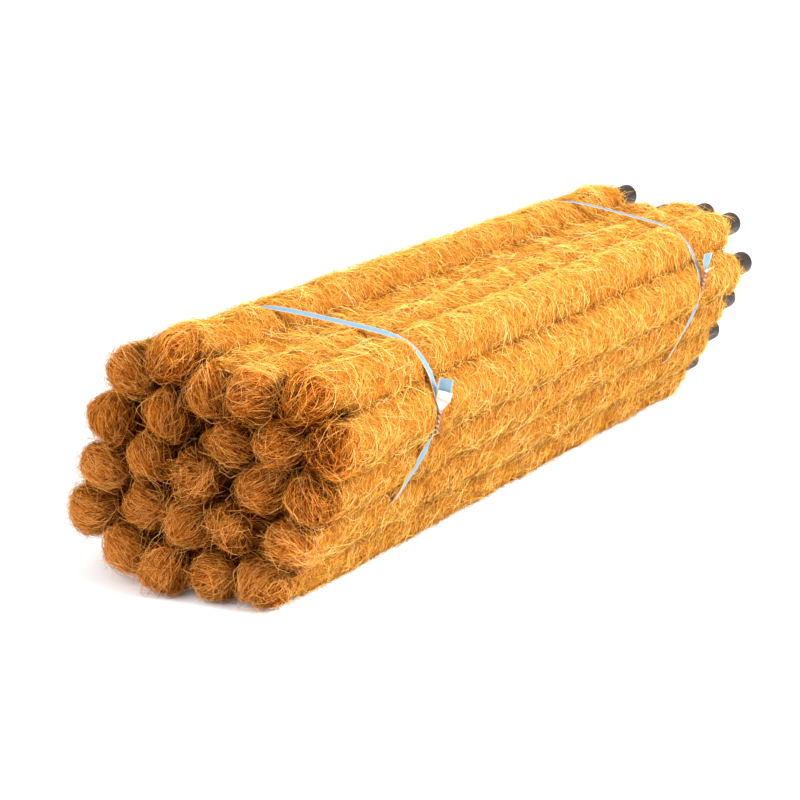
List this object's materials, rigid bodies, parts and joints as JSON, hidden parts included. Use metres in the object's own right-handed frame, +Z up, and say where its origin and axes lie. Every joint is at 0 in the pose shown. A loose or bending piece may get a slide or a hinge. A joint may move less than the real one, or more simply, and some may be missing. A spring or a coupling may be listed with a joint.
{
  "type": "bundle of coir moss poles",
  "caption": "Bundle of coir-wrapped plant support poles on dark plastic pipes, domed heads together, bare pipe ends to push into soil, held by two twisted ribbon ties.",
  "frame": {"origin": "middle of the ground rectangle that the bundle lies on", "axes": "+X along the poles from the coir heads to the bare pipe ends, +Y across to the left as seen from the heads, +Z up"},
  "size_m": [0.837, 0.2686, 0.2043],
  "materials": {
    "coir": "matte",
    "pipe": "satin",
    "tie": "satin"
  },
  "bodies": {
    "tied_stack": {"front_tie": "tie", "rear_tie": "tie", "coir_sleeve_01": "coir", "core_pipe_01": "pipe"},
    "pole_02": {"coir_sleeve_02": "coir", "core_pipe_02": "pipe"},
    "pole_03": {"coir_sleeve_03": "coir", "core_pipe_03": "pipe"},
    "pole_04": {"coir_sleeve_04": "coir", "core_pipe_04": "pipe"},
    "pole_05": {"coir_sleeve_05": "coir", "core_pipe_05": "pipe"},
    "pole_06": {"coir_sleeve_06": "coir", "core_pipe_06": "pipe"},
    "pole_07": {"coir_sleeve_07": "coir", "core_pipe_07": "pipe"},
    "pole_08": {"coir_sleeve_08": "coir", "core_pipe_08": "pipe"},
    "pole_09": {"coir_sleeve_09": "coir", "core_pipe_09": "pipe"},
    "pole_10": {"coir_sleeve_10": "coir", "core_pipe_10": "pipe"},
    "pole_11": {"coir_sleeve_11": "coir", "core_pipe_11": "pipe"},
    "pole_12": {"coir_sleeve_12": "coir", "core_pipe_12": "pipe"},
    "pole_13": {"coir_sleeve_13": "coir", "core_pipe_13": "pipe"},
    "pole_14": {"coir_sleeve_14": "coir", "core_pipe_14": "pipe"},
    "pole_15": {"coir_sleeve_15": "coir", "core_pipe_15": "pipe"},
    "pole_16": {"coir_sleeve_16": "coir", "core_pipe_16": "pipe"},
    "pole_17": {"coir_sleeve_17": "coir", "core_pipe_17": "pipe"},
    "pole_18": {"coir_sleeve_18": "coir", "core_pipe_18": "pipe"},
    "pole_19": {"coir_sleeve_19": "coir", "core_pipe_19": "pipe"},
    "pole_20": {"coir_sleeve_20": "coir", "core_pipe_20": "pipe"},
    "pole_21": {"coir_sleeve_21": "coir", "core_pipe_21": "pipe"},
    "pole_22": {"coir_sleeve_22": "coir", "core_pipe_22": "pipe"},
    "pole_23": {"coir_sleeve_23": "coir", "core_pipe_23": "pipe"},
    "pole_24": {"coir_sleeve_24": "coir", "core_pipe_24": "pipe"}
  },
  "joints": [
    {"name": "pole_02_draw", "type": "slide", "parent": "tied_stack", "child": "pole_02", "axis": [1, 0, 0], "range_m": [0, 0.62]},
    {"name": "pole_03_draw", "type": "slide", "parent": "tied_stack", "child": "pole_03", "axis": [1, 0, 0], "range_m": [0, 0.62]},
    {"name": "pole_04_draw", "type": "slide", "parent": "tied_stack", "child": "pole_04", "axis": [1, 0, 0], "range_m": [0, 0.62]},
    {"name": "pole_05_draw", "type": "slide", "parent": "tied_stack", "child": "pole_05", "axis": [1, 0, 0], "range_m": [0, 0.62]},
    {"name": "pole_06_draw", "type": "slide", "parent": "tied_stack", "child": "pole_06", "axis": [1, 0, 0], "range_m": [0, 0.62]},
    {"name": "pole_07_draw", "type": "slide", "parent": "tied_stack", "child": "pole_07", "axis": [1, 0, 0], "range_m": [0, 0.62]},
    {"name": "pole_08_draw", "type": "slide", "parent": "tied_stack", "child": "pole_08", "axis": [1, 0, 0], "range_m": [0, 0.62]},
    {"name": "pole_09_draw", "type": "slide", "parent": "tied_stack", "child": "pole_09", "axis": [1, 0, 0], "range_m": [0, 0.62]},
    {"name": "pole_10_draw", "type": "slide", "parent": "tied_stack", "child": "pole_10", "axis": [1, 0, 0], "range_m": [0, 0.62]},
    {"name": "pole_11_draw", "type": "slide", "parent": "tied_stack", "child": "pole_11", "axis": [1, 0, 0], "range_m": [0, 0.62]},
    {"name": "pole_12_draw", "type": "slide", "parent": "tied_stack", "child": "pole_12", "axis": [1, 0, 0], "range_m": [0, 0.62]},
    {"name": "pole_13_draw", "type": "slide", "parent": "tied_stack", "child": "pole_13", "axis": [1, 0, 0], "range_m": [0, 0.62]},
    {"name": "pole_14_draw", "type": "slide", "parent": "tied_stack", "child": "pole_14", "axis": [1, 0, 0], "range_m": [0, 0.62]},
    {"name": "pole_15_draw", "type": "slide", "parent": "tied_stack", "child": "pole_15", "axis": [1, 0, 0], "range_m": [0, 0.62]},
    {"name": "pole_16_draw", "type": "slide", "parent": "tied_stack", "child": "pole_16", "axis": [1, 0, 0], "range_m": [0, 0.62]},
    {"name": "pole_17_draw", "type": "slide", "parent": "tied_stack", "child": "pole_17", "axis": [1, 0, 0], "range_m": [0, 0.62]},
    {"name": "pole_18_draw", "type": "slide", "parent": "tied_stack", "child": "pole_18", "axis": [1, 0, 0], "range_m": [0, 0.62]},
    {"name": "pole_19_draw", "type": "slide", "parent": "tied_stack", "child": "pole_19", "axis": [1, 0, 0], "range_m": [0, 0.62]},
    {"name": "pole_20_draw", "type": "slide", "parent": "tied_stack", "child": "pole_20", "axis": [1, 0, 0], "range_m": [0, 0.62]},
    {"name": "pole_21_draw", "type": "slide", "parent": "tied_stack", "child": "pole_21", "axis": [1, 0, 0], "range_m": [0, 0.62]},
    {"name": "pole_22_draw", "type": "slide", "parent": "tied_stack", "child": "pole_22", "axis": [1, 0, 0], "range_m": [0, 0.62]},
    {"name": "pole_23_draw", "type": "slide", "parent": "tied_stack", "child": "pole_23", "axis": [1, 0, 0], "range_m": [0, 0.62]},
    {"name": "pole_24_draw", "type": "slide", "parent": "tied_stack", "child": "pole_24", "axis": [1, 0, 0], "range_m": [0, 0.62]}
  ]
}
